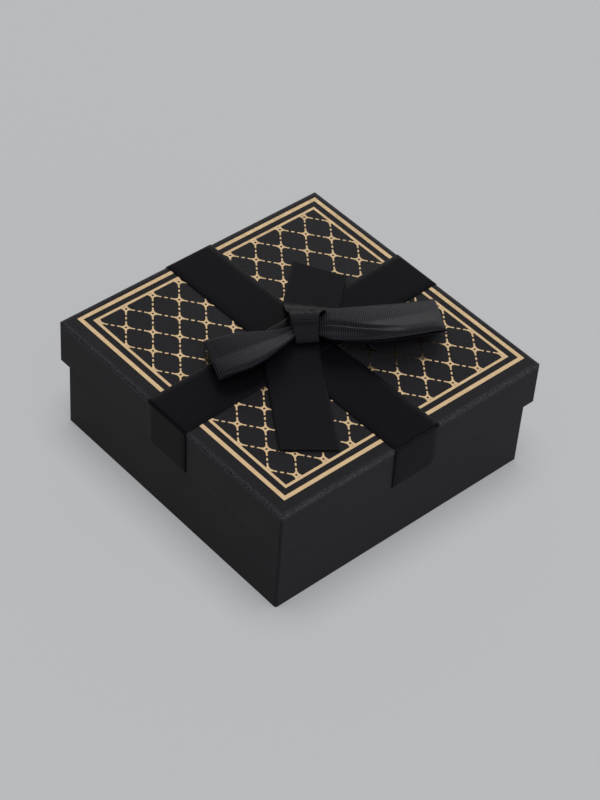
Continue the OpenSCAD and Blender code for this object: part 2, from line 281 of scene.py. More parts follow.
def glint_dots(shader):
    """Spots at the pitch of the pressed pattern, for the painted glints where the paper bends."""
    cells = shader.node("ShaderNodeTexVoronoi", feature="F1")
    shader.feed(cells.inputs["Scale"], 1 / DOT_PITCH)
    shader.feed(cells.inputs["Vector"], shader.place())
    return shader.remap(cells.outputs["Distance"], DOT_RIM, DOT_HEART, DOT_GROUND, 1.0)


def embossed_paper(name, colour, roughness, specular, depth):
    shader = Shader(name, colour, roughness, specular=specular)
    cloud = shader.noise(PAPER_CLOUDS, detail=3)
    plain = shader.blend(cloud, tinted(colour, 0.8), tinted(colour, 1.2))
    # Painted glints: the paper is painted lighter in dots along the lid's rounded rim.
    painted_rim_glints = shader.math("MULTIPLY", rim_share(shader), glint_dots(shader))
    shader.set("Base Color", shader.blend(painted_rim_glints, plain, GLINT_COLOUR))
    shader.set("Roughness", shader.remap(cloud, 0.3, 0.7, roughness - 0.04, roughness + 0.05))
    shader.relief(emboss_height(shader), depth)
    return shader.material


def plain_paper(name, colour, roughness):
    shader = Shader(name, colour, roughness, specular=0.3)
    grain = shader.noise(PAPER_GRAIN, detail=4)
    shader.set("Base Color", shader.blend(grain, tinted(colour, 0.85), tinted(colour, 1.15)))
    shader.relief(grain, 0.03 * MM)
    return shader.material


def grey_board(name, dark, pale):
    shader = Shader(name, pale, 0.9, specular=0.2)
    fibres = shader.noise(BOARD_FIBRES, detail=5, stretch=(1, 1, 6))
    shader.set("Base Color", shader.blend(fibres, dark, pale))
    shader.relief(fibres, 0.06 * MM)
    return shader.material


def gold_foil(name, dark, pale):
    shader = Shader(name, pale, 0.22, metallic=1.0)
    wear = shader.noise(FOIL_WEAR, detail=4, roughness=0.6)
    shader.set("Base Color", shader.blend(wear, dark, pale))
    shader.set("Roughness", shader.remap(wear, 0.3, 0.7, 0.18, 0.28))
    shader.relief(emboss_height(shader), 0.012 * MM, 0.6)
    return shader.material


def ribbon_cloth(name, colour, crest_highlight_colour, specular):
    """Grosgrain: fine warp threads over ribs whose crests are painted paler than the grooves, a painted
    highlight and painted shade, with the sheen drawn out across the ribs.
    """
    shader = Shader(name, colour, 0.27, specular=specular)
    shader.set("Anisotropic", 0.6)
    shader.set("Specular Tint", (0.97, 0.92, 1, 1))
    tangent = shader.node("ShaderNodeTangent", direction_type="UV_MAP", uv_map="ribbon")
    shader.set("Tangent", tangent.outputs["Tangent"])
    uv = shader.apart(shader.node("ShaderNodeUVMap", uv_map="ribbon").outputs["UV"])
    warp = shader.math("SINE", shader.math("MULTIPLY", uv["Y"], 2 * math.pi / WARP_PITCH))
    swing = shader.math("SINE", shader.math("MULTIPLY", uv["X"], math.pi / RIB_PITCH))
    weft = shader.math("ABSOLUTE", swing)
    fuzz = shader.noise(THREAD_FUZZ, detail=3)
    ground = shader.blend(fuzz, tinted(colour, 0.75), tinted(colour, 1.3))
    # The crests are painted lighter than the grooves: painted highlight on the ribs, painted shade
    # between them.
    crest_highlight = shader.math("POWER", weft, CREST_SHARPNESS)
    shader.set("Base Color", shader.blend(crest_highlight, ground, crest_highlight_colour))
    warp_part = shader.math("MULTIPLY", warp, WARP_SHARE)
    weft_part = shader.math("MULTIPLY", weft, WEFT_SHARE)
    threads = shader.math("ADD", warp_part, weft_part)
    shader.relief(shader.math("ADD", threads, fuzz), 0.004 * MM)
    return shader.material


def clear_glue(name, colour):
    shader = Shader(name, colour, 0.15)
    shader.set("Transmission Weight", 0.8)
    shader.set("IOR", 1.48)
    shader.relief(shader.noise(GLUE_LUMPS, detail=1), 0.1 * MM)
    return shader.material


WRAP_PAPER = embossed_paper("wrap_paper", (0.0102, 0.0098, 0.0112), 0.38, 0.06, 0.04 * MM)
LINING_PAPER = plain_paper("lining_paper", (0.014, 0.014, 0.015), 0.75)
KRAFT_TAPE = plain_paper("kraft_tape", (0.5, 0.4, 0.27), 0.7)
GREY_BOARD = grey_board("grey_board", (0.22, 0.2, 0.18), (0.4, 0.37, 0.33))
GOLD_FOIL = gold_foil("gold_foil", (0.65, 0.455, 0.245), (0.75, 0.555, 0.34))
# One ribbon in three copies, each with its rib crests painted lighter by its own amount as painted sheen:
# least on the bands, more on the knot and tails, most on the loops.
CLOTH_FAINT_PAINTED_SHEEN = ribbon_cloth(
    "ribbon_pulled_tight", (0.0030, 0.0027, 0.0035), (0.0040, 0.0037, 0.0046), 0.038,
)
CLOTH_SOME_PAINTED_SHEEN = ribbon_cloth("ribbon_laid", (0.0032, 0.0029, 0.0037), (0.0066, 0.0060, 0.0074), 0.042)
CLOTH_BRIGHT_PAINTED_SHEEN = ribbon_cloth("ribbon_in_bow", (0.0027, 0.0024, 0.0032), (0.0165, 0.0150, 0.0185), 0.05)
CLEAR_GLUE = clear_glue("clear_glue", (0.8, 0.78, 0.72))

FINISHES = {
    WRAP_PAPER: ("base_bottom_sheet", "base_wrap", "lid_wrap"),
    LINING_PAPER: ("base_liner", "lid_liner"),
    KRAFT_TAPE: ("base_corner_stays", "lid_corner_stays"),
    GREY_BOARD: ("base_board", "lid_board"),
    GOLD_FOIL: ("foil_border_outer", "foil_border_inner", "foil_lattice"),
    CLEAR_GLUE: ("ribbon_end_glue", "bow_glue"),
    CLOTH_FAINT_PAINTED_SHEEN: ("ribbon_band_x", "ribbon_band_y"),
    CLOTH_SOME_PAINTED_SHEEN: ("bow_knot", "bow_tail_front", "bow_tail_back"),
    CLOTH_BRIGHT_PAINTED_SHEEN: ("bow_loop_left", "bow_loop_right"),
}
for material, nodes in FINISHES.items():
    for node in nodes:
        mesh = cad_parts[node].data
        mesh.materials.clear()
        mesh.materials.append(material)


# ---- geometry nodes ----


class ShapeGraph(Graph):
    """A geometry node group with named inputs."""

    def __init__(self, name, inputs):
        super().__init__(bpy.data.node_groups.new(name, "GeometryNodeTree"))
        sockets = self.tree.interface
        sockets.new_socket("Geometry", in_out="INPUT", socket_type="NodeSocketGeometry")
        for label, kind in inputs.items():
            sockets.new_socket(label, in_out="INPUT", socket_type="NodeSocket" + kind)
        sockets.new_socket("Geometry", in_out="OUTPUT", socket_type="NodeSocketGeometry")
        self.start = self.node("NodeGroupInput")
        self.end = self.node("NodeGroupOutput")

    def given(self, label):
        return self.start.outputs[label]

    def attribute(self, label, kind="FLOAT"):
        made = self.node("GeometryNodeInputNamedAttribute", data_type=kind)
        made.inputs["Name"].default_value = label
        return made.outputs["Attribute"]

    def close(self, geometry, material):
        """Ends the graph in real geometry with its material."""
        realize = self.node("GeometryNodeRealizeInstances")
        self.feed(realize.inputs["Geometry"], geometry)
        paint = self.node("GeometryNodeSetMaterial")
        self.feed(paint.inputs["Geometry"], realize.outputs["Geometry"])
        self.feed(paint.inputs["Material"], material)
        self.feed(self.end.inputs["Geometry"], paint.outputs["Geometry"])


def bake(piece, graph, values):
    """Runs the graph on the piece and keeps the result as its plain mesh."""
    modifier = piece.modifiers.new("shape", "NODES")
    modifier.node_group = graph.tree
    for item in graph.tree.interface.items_tree:
        if item.in_out == "INPUT" and item.name in values:
            modifier[item.identifier] = values[item.name]
    bpy.context.view_layer.update()
    ready = bpy.context.evaluated_depsgraph_get()
    mesh = bpy.data.meshes.new_from_object(piece.evaluated_get(ready), depsgraph=ready)
    piece.modifiers.clear()
    old = piece.data
    piece.data = mesh
    bpy.data.meshes.remove(old)
    mesh.name = piece.name


def rib_graph():
    """Raises the cross ribs of grosgrain on both faces of a ribbon, and leaves its selvedges flat."""
    graph = ShapeGraph("ribbing", {
        "Pitch": "Float",
        "Depth": "Float",
        "Selvedge": "Float",
        "Roundness": "Float",
        "Material": "Material",
    })
    turns = graph.math("DIVIDE", graph.attribute("along"), graph.given("Pitch"))
    swing = graph.math("ABSOLUTE", graph.math("SINE", graph.math("MULTIPLY", turns, math.pi)))
    rib = graph.math("POWER", swing, graph.given("Roundness"))
    edge = graph.math("ABSOLUTE", graph.attribute("across"))
    inside = graph.math("LESS_THAN", edge, graph.given("Selvedge"))
    height = graph.math("MULTIPLY", graph.math("MULTIPLY", rib, inside), graph.given("Depth"))
    push = graph.node("ShaderNodeVectorMath", operation="SCALE")
    graph.feed(push.inputs["Vector"], graph.attribute("outward", "FLOAT_VECTOR"))
    graph.feed(push.inputs["Scale"], height)
    move = graph.node("GeometryNodeSetPosition")
    graph.feed(move.inputs["Geometry"], graph.given("Geometry"))
    graph.feed(move.inputs["Offset"], push.outputs["Vector"])
    smooth = graph.node("GeometryNodeSetShadeSmooth")
    graph.feed(smooth.inputs["Geometry"], move.outputs["Geometry"])
    graph.close(smooth.outputs["Geometry"], graph.given("Material"))
    return graph


def lattice_graph():
    """Stars on every second crossing of a grid, and a dash midway on each link between them."""
    graph = ShapeGraph("lattice", {
        "Columns": "Int",
        "Rows": "Int",
        "Cell X": "Float",
        "Cell Y": "Float",
        "Star": "Object",
        "Dash": "Object",
        "Material": "Material",
    })
    grid = graph.node("GeometryNodeMeshGrid")
    graph.feed(grid.inputs["Vertices X"], graph.given("Columns"))
    graph.feed(grid.inputs["Vertices Y"], graph.given("Rows"))
    for axis, count, cell in (("Size X", "Columns", "Cell X"), ("Size Y", "Rows", "Cell Y")):
        gaps = graph.math("SUBTRACT", graph.given(count), 1.0)
        graph.feed(grid.inputs[axis], graph.math("MULTIPLY", gaps, graph.given(cell)))
    place = graph.apart(graph.node("GeometryNodeInputPosition").outputs["Position"])
    steps = []
    for axis, cell in (("X", "Cell X"), ("Y", "Cell Y")):
        share = graph.math("DIVIDE", place[axis], graph.given(cell))
        steps.append(graph.math("ROUND", graph.math("SUBTRACT", share, 0.5)))
    parity = graph.math("FLOORED_MODULO", graph.math("ADD", steps[0], steps[1]), 2.0)
    odd = graph.math("GREATER_THAN", parity, 0.5)
    crossings = graph.node("GeometryNodeDeleteGeometry", domain="POINT")
    graph.feed(crossings.inputs["Geometry"], grid.outputs["Mesh"])
    graph.feed(crossings.inputs["Selection"], odd)
    points = graph.node("GeometryNodeMeshToPoints")
    graph.feed(points.inputs["Mesh"], crossings.outputs["Geometry"])
    join = graph.node("GeometryNodeJoinGeometry")

    def stamp(shape, side):
        """Instances of a template at the stars (side 0) or half a link to the right, up or down."""
        template = graph.node("GeometryNodeObjectInfo")
        graph.feed(template.inputs["Object"], graph.given(shape))
        placed = points.outputs["Points"]
        turn = 0.0
        if side:
            shift = graph.node("ShaderNodeCombineXYZ")
            graph.feed(shift.inputs["X"], graph.math("MULTIPLY", graph.given("Cell X"), 0.5))
            graph.feed(shift.inputs["Y"], graph.math("MULTIPLY", graph.given("Cell Y"), 0.5 * side))
            move = graph.node("GeometryNodeSetPosition")
            graph.feed(move.inputs["Geometry"], placed)
            graph.feed(move.inputs["Offset"], shift.outputs["Vector"])
            placed = move.outputs["Geometry"]
            rise = graph.math("MULTIPLY", graph.given("Cell Y"), float(side))
            turn = graph.math("ARCTAN2", rise, graph.given("Cell X"))
        spin = graph.node("ShaderNodeCombineXYZ")
        graph.feed(spin.inputs["Z"], turn)
        instances = graph.node("GeometryNodeInstanceOnPoints")
        graph.feed(instances.inputs["Points"], placed)
        graph.feed(instances.inputs["Instance"], template.outputs["Geometry"])
        graph.feed(instances.inputs["Rotation"], spin.outputs["Vector"])
        graph.feed(join.inputs["Geometry"], instances.outputs["Instances"])

    stamp("Star", 0)
    stamp("Dash", 1)
    stamp("Dash", -1)
    graph.close(join.outputs["Geometry"], graph.given("Material"))
    return graph


# ---- gold lattice ----


def flat_shape(name, outline, hole, thickness):
    """Closed thin plate with the given outline and, if any, a hole of as many points."""
    bm = bmesh.new()
    rings = []
    for z in (0.0, thickness):
        rings.append([[bm.verts.new((x, y, z)) for x, y in ring] for ring in (outline, hole) if ring])
    low, high = rings
    count = len(outline)
    for i in range(count):
        j = (i + 1) % count
        bm.faces.new((low[0][i], low[0][j], high[0][j], high[0][i]))
        if hole:
            bm.faces.new((low[1][j], low[1][i], high[1][i], high[1][j]))
            bm.faces.new((high[0][i], high[0][j], high[1][j], high[1][i]))
            bm.faces.new((low[0][j], low[0][i], low[1][i], low[1][j]))
    if not hole:
        bm.faces.new(high[0])
        bm.faces.new(list(reversed(low[0])))
    mesh = bpy.data.meshes.new(name)
    bm.to_mesh(mesh)
    bm.free()
    mesh.materials.append(GOLD_FOIL)
    return link_object(name, mesh)


def star_outline(link, heading):
    """Four blunt arms along the links, joined by hollow curves that dip to the waist."""
    reach = link * ARM_REACH
    arms = [heading, math.pi - heading, math.pi + heading, 2 * math.pi - heading, 2 * math.pi + heading]
    points = []
    for angle, following in zip(arms, arms[1:]):
        tip = Vector((math.cos(angle), math.sin(angle))) * reach
        side = Vector((-math.sin(angle), math.cos(angle))) * STROKE / 2
        next_tip = Vector((math.cos(following), math.sin(following))) * reach
        next_side = Vector((math.sin(following), -math.cos(following))) * STROKE / 2
        start, stop = tip + side, next_tip + next_side
        middle = (angle + following) / 2
        waist = Vector((math.cos(middle), math.sin(middle))) * STAR_WAIST
        pull = 2 * waist - (start + stop) / 2
        points.append(tuple(tip * ARM_TIP))
        for step in range(ARM_CURVE_STEPS + 1):
            t = step / ARM_CURVE_STEPS
            spot = start * (1 - t) ** 2 + pull * 2 * t * (1 - t) + stop * t ** 2
            points.append(tuple(spot))
    return points


def round_hole(count, radius, start):
    angles = [start + 2 * math.pi * i / count for i in range(count)]
    return [(radius * math.cos(angle), radius * math.sin(angle)) for angle in angles]


def dash_outline(length):
    half, r = length / 2 - STROKE / 2, STROKE / 2
    ends = []
    for centre, first in ((half, -90), (-half, 90)):
        for step in range(4):
            a = math.radians(first + 60 * step)
            ends.append((centre + r * math.cos(a), r * math.sin(a)))
    return ends


def clip_to_field(mesh, low, high):
    """Cuts off what lies past the inner line and closes the cuts."""
    bm = bmesh.new()
    bm.from_mesh(mesh)
    for axis in (Vector((1, 0, 0)), Vector((0, 1, 0))):
        for corner, sign in ((low, -1), (high, 1)):
            parts = bm.verts[:] + bm.edges[:] + bm.faces[:]
            cut = bmesh.ops.bisect_plane(
                bm, geom=parts, plane_co=corner, plane_no=axis * sign, clear_outer=True,
            )
            edges = [g for g in cut["geom_cut"] if isinstance(g, bmesh.types.BMEdge)]
            if edges:
                bmesh.ops.holes_fill(bm, edges=edges, sides=0)
    bm.to_mesh(mesh)
    bm.free()


def make_lattice():
    link = math.hypot(*CELL)
    heading = math.atan2(CELL[1], CELL[0])
    thickness = FOIL_TOP - LID_TOP
    outline = star_outline(link, heading)
    star = flat_shape("star", outline, round_hole(len(outline), STAR_HOLE, heading), thickness)
    dash = flat_shape("dash", dash_outline(link * DASH_SHARE), None, thickness)
    piece = link_object("gold_lattice", bpy.data.meshes.new("gold_lattice"))
    half = (PRINT_HIGH - PRINT_LOW) / 2
    columns = 2 * math.floor(half.x / CELL[0] + 0.5)
    rows = 2 * math.floor(half.y / CELL[1] + 0.5)
    bake(piece, lattice_graph(), {
        "Columns": columns, "Rows": rows, "Cell X": CELL[0], "Cell Y": CELL[1],
        "Star": star, "Dash": dash, "Material": GOLD_FOIL,
    })
    piece.data.transform(Matrix.Translation((PRINT_CENTRE.x, PRINT_CENTRE.y, LID_TOP)))
    clip_to_field(piece.data, LATTICE_LOW, LATTICE_HIGH)
    for template in (star, dash):
        bpy.data.objects.remove(template)
    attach(piece, "lid")
    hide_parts("foil_lattice")


# ---- ribbons ----

RIBBING = rib_graph()


def even_rows(surface, step):
    """Values of t whose points on the surface's middle line are one step apart."""
    t = np.linspace(0, 1, PATH_SAMPLES)
    middle = surface(t, np.zeros(1))[:, 0]
    lengths = np.concatenate([[0], np.cumsum(np.linalg.norm(np.diff(middle, axis=0), axis=1))])
    count = max(FEWEST_ROWS, int(round(lengths[-1] / step)))
    along = np.linspace(0, lengths[-1], count + 1)
    return np.interp(along, lengths, t), along


def across_columns(count):
    """Even columns, with one more at each side where the ribs end and the selvedge starts."""
    inner = np.linspace(-SELVEDGE + SELVEDGE_GAP, SELVEDGE - SELVEDGE_GAP, count)
    return np.concatenate([[-1, -SELVEDGE], inner, [SELVEDGE, 1]])


def strip_faces(rows, cols):
    """Faces of a closed strip, whose points are the rows of its top and then those of its underside."""
    count = rows * cols
    a = (np.arange(rows - 1)[:, None] * cols + np.arange(cols - 1)[None, :]).ravel()
    top = np.stack([a, a + 1, a + cols + 1, a + cols], 1)
    under = np.stack([a, a + cols, a + cols + 1, a + 1], 1) + count
    left = np.arange(rows - 1) * cols
    right = left + cols - 1
    left_edge = np.stack([left, left + cols, left + cols + count, left + count], 1)
    right_edge = np.stack([right, right + count, right + cols + count, right + cols], 1)
    first = np.arange(cols - 1)
    last = first + (rows - 1) * cols
    first_end = np.stack([first, first + count, first + 1 + count, first + 1], 1)
    last_end = np.stack([last, last + 1, last + 1 + count, last + count], 1)
    return np.concatenate([top, under, left_edge, right_edge, first_end, last_end])


def ribbon(name, surface, depth, cloth, columns=27):
    """A ribbon of real thickness and real ribs along the surface(t, s), with s from -1 to 1 across it."""
    t, along = even_rows(surface, RIB_PITCH / RIB_STEPS)
    s = across_columns(columns)
    grid = surface(t, s)
    normal = np.cross(np.gradient(grid, axis=0), np.gradient(grid, axis=1))
    normal /= np.linalg.norm(normal, axis=2, keepdims=True)
    half = normal * (RIBBON_THICKNESS - depth) / 2
    points = np.concatenate([(grid + half).reshape(-1, 3), (grid - half).reshape(-1, 3)])
    mesh = bpy.data.meshes.new(name)
    mesh.from_pydata(points.tolist(), [], strip_faces(len(t), len(s)).tolist())
    along_all = np.tile(np.repeat(along, len(s)), 2)
    across_all = np.tile(np.tile(s, len(t)), 2)
    outward = np.concatenate([normal.reshape(-1, 3), -normal.reshape(-1, 3)])
    mesh.attributes.new("along", "FLOAT", "POINT").data.foreach_set("value", along_all)
    mesh.attributes.new("across", "FLOAT", "POINT").data.foreach_set("value", across_all)
    mesh.attributes.new("outward", "FLOAT_VECTOR", "POINT").data.foreach_set("vector", outward.ravel())
    corner = np.zeros(len(mesh.loops), dtype=np.int32)
    mesh.loops.foreach_get("vertex_index", corner)
    uv = mesh.uv_layers.new(name="ribbon")
    pairs = np.stack([along_all[corner], across_all[corner] * RIBBON_WIDTH / 2], 1)
    uv.data.foreach_set("uv", pairs.ravel())
    piece = link_object(name, mesh)
    bake(piece, RIBBING, {
        "Pitch": RIB_PITCH, "Depth": depth, "Selvedge": SELVEDGE - SELVEDGE_GAP / 5,
        "Roundness": RIB_ROUNDNESS, "Material": cloth,
    })
    piece["flat_length"] = float(along[-1])
    return piece


def finish_ribbon(piece, node):
    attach(piece, "lid")
    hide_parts(node)


def arc(centre, ru, rv, a0, a1, steps):
    """Points of an arc from angle a0 to a1, in degrees, with semi-axes ru and rv."""
    a = np.radians(np.linspace(a0, a1, steps + 1))
    return [(centre[0] + ru * math.cos(x), centre[1] + rv * math.sin(x)) for x in a]


BAND_MIDDLE = FOIL_TOP + RIBBON_THICKNESS / 2
EDGE_RADIUS = 1.2 * MM
EDGE_GAP = 0.03 * MM
TAB_LENGTH = 11.5 * MM
TAB_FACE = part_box("ribbon_end_glue")[1].x - 0.1 * MM
CLIMB = 3 * MM
RIM_THICKNESS = 1.9 * MM
RIM_GAP = 0.05 * MM
CORNER_RUN = 6 * MM


def band_outline(over):
    """Side view of a band, as points (u, z) from one inner end over the lid to the other."""
    half_sheet = RIBBON_THICKNESS / 2
    half = RIBBON_WIDTH / 2 + CLIMB
    rise = [(0, BAND_MIDDLE)]
    if over:
        shares = np.linspace(0, 1, 9)
        rise = [(0, BAND_MIDDLE + over)]
        rise += [(half - CLIMB * (1 - x), BAND_MIDDLE + over * (1 - ease(x))) for x in shares]
    edge = arc(
        (LID_HALF - EDGE_RADIUS, LID_TOP - EDGE_RADIUS), EDGE_RADIUS + EDGE_GAP + half_sheet,
        EDGE_RADIUS + FOIL_TOP - LID_TOP + half_sheet, 90, 0, 10,
    )
    edge += arc((LID_HALF, LID_RIM), EDGE_GAP + half_sheet, half_sheet + RIM_GAP, 0, -90, 6)
    tab = TAB_FACE - half_sheet
    inner = LID_HALF - RIM_THICKNESS
    edge += arc((inner, LID_RIM), inner - tab, half_sheet + RIM_GAP, -90, -180, 6)
    edge.append((tab, LID_RIM + TAB_LENGTH))
    right = rise + edge
    left = [(-u, z) for u, z in reversed(right[1:])]
    return np.array(left + right)


def band_surface(over, slant, offset, turned, rounded):
    """A band whose far end, where it has a rounding, draws in by that much at the rim's corner."""
    outline = band_outline(over)
    steps = np.linalg.norm(np.diff(outline, axis=0), axis=1)
    lengths = np.concatenate([[0], np.cumsum(steps)])
    middle = lengths[-1] / 2
    rim_run = middle - TAB_LENGTH

    def surface(t, s):
        run = t * lengths[-1]
        u = np.interp(run, lengths, outline[:, 0])
        z = np.interp(run, lengths, outline[:, 1])
        v = offset + math.tan(math.radians(slant)) * (run - middle)
        from_rim = np.abs(run - middle - rim_run)[:, None]
        corner = np.clip(1 - from_rim / CORNER_RUN, 0, 1) * (run > middle)[:, None]
        narrow = rounded * (1 - np.sqrt(1 - corner ** 2)) * (s[None, :] > 0)
        v = v[:, None] + s[None, :] * (RIBBON_WIDTH / 2 - narrow)
        u = np.repeat(u[:, None], len(s), 1)
        z = np.repeat(z[:, None], len(s), 1)
        return np.stack([-v, u, z] if turned else [u, v, z], -1)

    return surface


def make_bands():
    lower = band_surface(over=0.0, slant=1.0, offset=-0.7 * MM, turned=False, rounded=6 * MM)
    band_x = ribbon("band_along_x", lower, PULLED_RIBS, CLOTH_FAINT_PAINTED_SHEEN, columns=9)
    finish_ribbon(band_x, "ribbon_band_x")
    upper = band_surface(over=RIBBON_THICKNESS, slant=1.9, offset=2.0 * MM, turned=True, rounded=0.0)
    band_y = ribbon("band_along_y", upper, PULLED_RIBS, CLOTH_FAINT_PAINTED_SHEEN, columns=9)
    finish_ribbon(band_y, "ribbon_band_y")


# ---- bow ----
# Headings are in degrees, anticlockwise from +X as seen from above. Along a loop, out runs from 0 at
# the knot to 1 at the tip, and s from -1 to 1 across the ribbon. The folds of the loops are in mm.

KNOT_MOUTH = KNOT_WIDTH / 2 - 2 * MM
PINCH = KNOT_MOUTH + 8 * MM
BITE = 1.5 * MM
ROOT_GAP = 0.7 * MM
CROWN = 0.5 * MM
NEAR_EDGE = 0.2
NEAR_EDGE_CLOSING = 0.4
LOWER_TUCK = 2.6 * MM
TUCK_TURN = 1.3
FOLD_TURN = 0.6

LEFT_VALLEY = (-0.2, 0.05)
LEFT_NEAR_RISE = 2.3
LEFT_FAR_RISE = 0.7
LEFT_SINK = 1.0
LEFT_FADE = 0.35
LEFT_PLEAT = 0.6
RIGHT_CREASE = (-0.02, -0.75)
RIGHT_LAP = 1.0
RIGHT_GROOVE = 1.1
RIGHT_SLOPE = 1.6

KNOT_FLAT_AT = 135
KNOT_FLAT_WIDTH = 30

FRONT_TAIL_AT = (-2 * MM, -4.5 * MM)
FRONT_TAIL_LENGTH = 66 * MM
FRONT_TAIL_HEADING = -34
FRONT_TAIL_BEND = 1.5
FRONT_TAIL_TRIM = (-1.4 * MM, 1.5 * MM)
FRONT_TAIL_HIGH = 2.5 * MM
FRONT_TAIL_LOW = 0.7 * MM
FRONT_TAIL_FALL = 14 * MM

BACK_TAIL_WRAP = (215, 96)
BACK_TAIL_LENGTH = 46.2 * MM
BACK_TAIL_HEADING = 130
BACK_TAIL_SIDE = 221
BACK_TAIL_TRIM = (-2.4 * MM, 3.1 * MM)
BACK_TAIL_LOW = 1.2 * MM
BACK_TAIL_FALL = 21 * MM
BACK_TAIL_TURN = 9 * MM
BACK_TAIL_TWIST = 26 * MM
BACK_TAIL_SPREAD = 25 * MM
BACK_TAIL_OVERLAP = 0.8 * MM
KNOT_CLEARANCE = 0.1 * MM
REST_SOFTNESS = 0.4 * MM
PLEAT_HEIGHT = 0.3 * MM
PLEAT_WAVES = 4.2 * math.pi
PLEAT_PHASE = 0.6
PLEAT_RISE = (3 * MM, 6 * MM)
PLEAT_FADE = (9 * MM, 16 * MM)
DENT_AT = (10 * MM, -2.4 * MM)
DENT_RADIUS = 2.2 * MM
DENT_WIDTH = 0.7 * MM
DENT_HEIGHT = 0.8 * MM

SIDE_FOLD = 0.25 * MM
OVERLAP_STEP = 0.45 * MM
OVERLAP_REACH = 1.4 * MM
OVERLAP_RUN = 1.0 * MM
KNOT_SWELL = 0.05
TURN_SHARE = 0.995


def stacked(x, y, z):
    return np.stack(np.broadcast_arrays(x, y, z), -1)


def loop_surface(
    reach, heading, bend, skew, start, levels, rise, gather, full_at, roll, root, near, folds,
):
    """Out along the top strand, round the tip and back along the lower one.

    The strand runs on the heading and turns by the bend, and its width is skewed and rolled. It
    starts in the knot with the root's width, is gathered where it comes free, and has its full width
    from the share full_at of its reach. The near side, 1 or -1, is the one that faces the front.
    """
    first = math.acos(1 - 2 * BITE / reach)

    def surface(t, s):
        turn = mix(first, 2 * math.pi - first, t)[:, None]
        s = s[None, :]
        out = (1 - np.cos(turn)) / 2
        u = reach * out
        free = ease((u - KNOT_MOUTH) / (PINCH - KNOT_MOUTH))
        way = np.radians(heading + bend * out)
        side = np.radians(heading + skew * out + 90)
        tilt = np.radians(mix(roll[0], roll[1], out)) * free
        level = mix(KNOT_HEIGHT, mix(levels[0], levels[1], out), free)
        open_share = 1 - NEAR_EDGE_CLOSING * ease((near * s - (1 - NEAR_EDGE)) / NEAR_EDGE)
        lift = rise * open_share * free * np.sin(turn) * np.sin(turn / 2) + ROOT_GAP * np.cos(turn / 2)
        half = mix(root, RIBBON_WIDTH * mix(gather, 1, ease(out / full_at)), free) / 2
        tuck = -near * LOWER_TUCK * free * ease((turn - math.pi) / TUCK_TURN)
        aside = s * half * np.cos(tilt) + tuck
        x = mix(KNOT_AT.x, start[0], free) + u * np.cos(way) + aside * np.cos(side)
        y = mix(KNOT_AT.y, start[1], free) + u * np.sin(way) + aside * np.sin(side)
        z = LID_TOP + level + lift + s * half * np.sin(tilt)
        z = z + CROWN * free * (1 - s * s) * np.sin(turn / 2)
        z = z + folds(out, s) * ease((math.pi - turn) / FOLD_TURN) * MM * free
        return stacked(x, y, z)

    return surface


def left_loop_folds(out, s):
    """The strand is a trough from the knot: its near side rises to the edge, its far side less."""
    valley = mix(*LEFT_VALLEY, out)
    near_side = np.clip(s - valley, 0, None)
    far_side = np.clip(valley - s, 0, None)
    trough = LEFT_NEAR_RISE * near_side ** 1.1 + LEFT_FAR_RISE * far_side ** 1.2 - LEFT_SINK
    fade = 1 - LEFT_FADE * ramp(out, 0.1, 0.8)
    pleat = LEFT_PLEAT * bump_at(s, valley + 0.25, 0.12) * (1 - ramp(out, 0, 0.35))
    return trough * fade + pleat


def right_loop_folds(out, s):
    """The near side laps over the middle in a crease, and the middle slopes back towards the tip."""
    crease = mix(*RIGHT_CREASE, ramp(out, 0, 0.85))
    lap = RIGHT_LAP * bump_at(s, crease - 0.16, 0.13) - RIGHT_GROOVE * bump_at(s, crease + 0.08, 0.1)
    slope = RIGHT_SLOPE / 2 - RIGHT_SLOPE * ramp(s, -0.62, mix(0.5, 0.95, out))
    return lap * (1 - ramp(out, 0.45, 0.3)) + slope * ramp(out, 0.15, 0.5)


def front_tail_surface():
    """The front tail: it comes out low under the knot and lies down across the lower band."""

    def surface(t, s):
        out = t[:, None]
        s = s[None, :]
        way = np.radians(FRONT_TAIL_HEADING + FRONT_TAIL_BEND * out / 2)
        side = np.radians(FRONT_TAIL_HEADING + FRONT_TAIL_BEND * out + 90)
        half = RIBBON_WIDTH / 2
        u = (FRONT_TAIL_LENGTH + mix(*FRONT_TAIL_TRIM, (s + 1) / 2)) * out
        fall = np.exp(-((u / FRONT_TAIL_FALL) ** 2))
        z = LID_TOP + FRONT_TAIL_LOW + (FRONT_TAIL_HIGH - FRONT_TAIL_LOW) * fall
        x = FRONT_TAIL_AT[0] + u * np.cos(way) + s * half * np.cos(side)
        y = FRONT_TAIL_AT[1] + u * np.sin(way) + s * half * np.sin(side)
        return stacked(x, y, z)

    return surface


def knot_section(angle, breadth, depth):
    """Side view of the knot, as (back, up) from its axis, for angles from its back over its top.

    Its front slopes down to a low nose, because the tail that comes up there pulls it flat.
    """
    flat = 1 - KNOT_FLATTENING * bump_at(angle, math.radians(KNOT_FLAT_AT), math.radians(KNOT_FLAT_WIDTH))
    under = 1 - NOSE_UNDERCUT * ease(-2 * np.cos(angle)) * (np.sin(angle) < 0)
    back = breadth * np.cos(angle) * flat
    return back, depth * np.sin(angle) * flat * under + KNOT_LEAN * back


